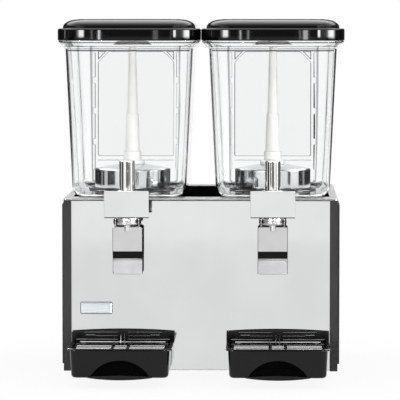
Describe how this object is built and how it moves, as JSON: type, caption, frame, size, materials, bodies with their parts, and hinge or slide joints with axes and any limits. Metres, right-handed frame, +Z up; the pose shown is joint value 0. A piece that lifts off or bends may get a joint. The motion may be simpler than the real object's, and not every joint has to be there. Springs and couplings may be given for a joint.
{
  "type": "cold beverage dispenser",
  "caption": "Countertop chilled drink dispenser: clear tapered tanks with black lids and spray tubes over cooling domes, push levers under steel tap covers, hooked-on drip trays, steel cabinet.",
  "frame": {"origin": "middle of the overall footprint, at the underside of the feet", "axes": "+Z up, +Y towards the back panel, so the taps and trays face -Y; +X to the right of someone standing at the taps. Left and right in node names are that person's left and right."},
  "size_m": [0.445, 0.54, 0.5575],
  "materials": {
    "stainless_sheet": "bright satin stainless sheet, folded and pressed",
    "polished_steel": "polished stainless tube",
    "dark_paint": "dark grey powder coat, fine texture",
    "black_moulding": "glossy black moulding",
    "satin_black": "satin black moulding",
    "foot_rubber": "matte black rubber",
    "clear_plastic": "clear moulded polycarbonate",
    "white_plastic": "white moulding, soft gloss",
    "grey_plastic": "light grey moulding",
    "zinc_sheet": "galvanised sheet",
    "black_enamel": "black enamel",
    "fin_metal": "plain aluminium fins",
    "magnet": "dark sintered metal",
    "badge_metal": "bare satin plate with a bevelled border"
  },
  "bodies": {
    "machine": {"foot_front_left": "foot_rubber", "foot_front_right": "foot_rubber", "foot_rear_left": "foot_rubber", "foot_rear_right": "foot_rubber", "base_pan": "zinc_sheet", "top_frame": "stainless_sheet", "deck": "black_moulding", "front_panel": "stainless_sheet", "side_panel_left": "dark_paint", "side_panel_right": "dark_paint", "back_panel": "zinc_sheet", "badge_plate": "badge_metal", "cord_gland": "satin_black", "compressor": "black_enamel", "condenser": "fin_metal", "fan_shroud": "satin_black", "left_evaporator_dome": "stainless_sheet", "left_dome_seal": "foot_rubber", "left_spray_tube": "white_plastic", "left_drive_motor": "zinc_sheet", "left_tap_cover": "stainless_sheet", "left_tray_hanger": "stainless_sheet", "right_evaporator_dome": "stainless_sheet", "right_dome_seal": "foot_rubber", "right_spray_tube": "white_plastic", "right_drive_motor": "zinc_sheet", "right_tap_cover": "stainless_sheet", "right_tray_hanger": "stainless_sheet"},
    "left_tank": {"left_tank": "clear_plastic", "left_tap_housing": "polished_steel", "left_tap_sleeve": "polished_steel", "left_nozzle": "polished_steel"},
    "left_lid": {"left_lid": "black_moulding"},
    "left_plunger": {"left_tap_plunger": "white_plastic"},
    "left_lever": {"left_lever": "stainless_sheet", "left_lever_shaft_left": "satin_black", "left_lever_shaft_right": "satin_black"},
    "left_magnet": {"left_drive_magnet": "magnet"},
    "left_impeller": {"left_impeller": "white_plastic"},
    "left_tray": {"left_drip_tray": "satin_black"},
    "left_grid": {"left_drip_grid": "black_moulding"},
    "right_tank": {"right_tank": "clear_plastic", "right_tap_housing": "polished_steel", "right_tap_sleeve": "polished_steel", "right_nozzle": "polished_steel"},
    "right_lid": {"right_lid": "black_moulding"},
    "right_plunger": {"right_tap_plunger": "white_plastic"},
    "right_lever": {"right_lever": "stainless_sheet", "right_lever_shaft_left": "satin_black", "right_lever_shaft_right": "satin_black"},
    "right_magnet": {"right_drive_magnet": "magnet"},
    "right_impeller": {"right_impeller": "white_plastic"},
    "right_tray": {"right_drip_tray": "satin_black"},
    "right_grid": {"right_drip_grid": "black_moulding"},
    "fan": {"fan_rotor": "grey_plastic"},
    "thermostat": {"thermostat_knob": "satin_black"},
    "rocker_1": {"rocker_switch_1": "black_moulding"},
    "rocker_2": {"rocker_switch_2": "black_moulding"},
    "rocker_3": {"rocker_switch_3": "black_moulding"}
  },
  "joints": [
    {"name": "left_tank_lift", "type": "slide", "parent": "machine", "child": "left_tank", "axis": [0, 0, 1], "range_m": [0, 0.25]},
    {"name": "left_lid_lift", "type": "slide", "parent": "left_tank", "child": "left_lid", "axis": [0, 0, 1], "range_m": [0, 0.06]},
    {"name": "left_lever_push", "type": "hinge", "parent": "left_tank", "child": "left_lever", "pos_m": [-0.1115, -0.182, 0.247], "axis": [1, 0, 0], "range_deg": [0, 15], "stiffness_Nm_per_rad": 1, "springref_deg": -5.73},
    {"name": "left_plunger_slide", "type": "slide", "parent": "left_tank", "child": "left_plunger", "axis": [0, 0, 1], "range_m": [0, 0.00166]},
    {"name": "left_magnet_spin", "type": "hinge", "parent": "machine", "child": "left_magnet", "pos_m": [-0.1115, 0.01, 0.316], "axis": [0, 0, 1], "continuous": true},
    {"name": "left_impeller_spin", "type": "hinge", "parent": "machine", "child": "left_impeller", "pos_m": [-0.1115, 0.01, 0.328], "axis": [0, 0, 1], "continuous": true},
    {"name": "left_tray_lift", "type": "slide", "parent": "machine", "child": "left_tray", "axis": [0, 0, 1], "range_m": [0, 0.03]},
    {"name": "left_grid_lift", "type": "slide", "parent": "left_tray", "child": "left_grid", "axis": [0, 0, 1], "range_m": [0, 0.05]},
    {"name": "right_tank_lift", "type": "slide", "parent": "machine", "child": "right_tank", "axis": [0, 0, 1], "range_m": [0, 0.25]},
    {"name": "right_lid_lift", "type": "slide", "parent": "right_tank", "child": "right_lid", "axis": [0, 0, 1], "range_m": [0, 0.06]},
    {"name": "right_lever_push", "type": "hinge", "parent": "right_tank", "child": "right_lever", "pos_m": [0.1115, -0.182, 0.247], "axis": [1, 0, 0], "range_deg": [0, 15], "stiffness_Nm_per_rad": 1, "springref_deg": -5.73},
    {"name": "right_plunger_slide", "type": "slide", "parent": "right_tank", "child": "right_plunger", "axis": [0, 0, 1], "range_m": [0, 0.00166]},
    {"name": "right_magnet_spin", "type": "hinge", "parent": "machine", "child": "right_magnet", "pos_m": [0.1115, 0.01, 0.316], "axis": [0, 0, 1], "continuous": true},
    {"name": "right_impeller_spin", "type": "hinge", "parent": "machine", "child": "right_impeller", "pos_m": [0.1115, 0.01, 0.328], "axis": [0, 0, 1], "continuous": true},
    {"name": "right_tray_lift", "type": "slide", "parent": "machine", "child": "right_tray", "axis": [0, 0, 1], "range_m": [0, 0.03]},
    {"name": "right_grid_lift", "type": "slide", "parent": "right_tray", "child": "right_grid", "axis": [0, 0, 1], "range_m": [0, 0.05]},
    {"name": "fan_spin", "type": "hinge", "parent": "machine", "child": "fan", "pos_m": [0.0976, 0.1886, 0.115], "axis": [0, 1, 0], "continuous": true},
    {"name": "thermostat_turn", "type": "hinge", "parent": "machine", "child": "thermostat", "pos_m": [-0.15, 0.26, 0.21], "axis": [0, -1, 0], "range_deg": [0, 270]},
    {"name": "rocker_1_tilt", "type": "hinge", "parent": "machine", "child": "rocker_1", "pos_m": [-0.1, 0.256, 0.21], "axis": [1, 0, 0], "range_deg": [0, 16]},
    {"name": "rocker_2_tilt", "type": "hinge", "parent": "machine", "child": "rocker_2", "pos_m": [-0.07, 0.256, 0.21], "axis": [1, 0, 0], "range_deg": [0, 16]},
    {"name": "rocker_3_tilt", "type": "hinge", "parent": "machine", "child": "rocker_3", "pos_m": [-0.04, 0.256, 0.21], "axis": [1, 0, 0], "range_deg": [0, 16]}
  ],
  "couplings": [
    {"joint": "left_plunger_slide", "follows": "left_lever_push", "m_per_rad": 0.00633},
    {"joint": "right_plunger_slide", "follows": "right_lever_push", "m_per_rad": 0.00633},
    {"joint": "left_impeller_spin", "follows": "left_magnet_spin", "ratio": 1},
    {"joint": "right_impeller_spin", "follows": "right_magnet_spin", "ratio": 1}
  ]
}
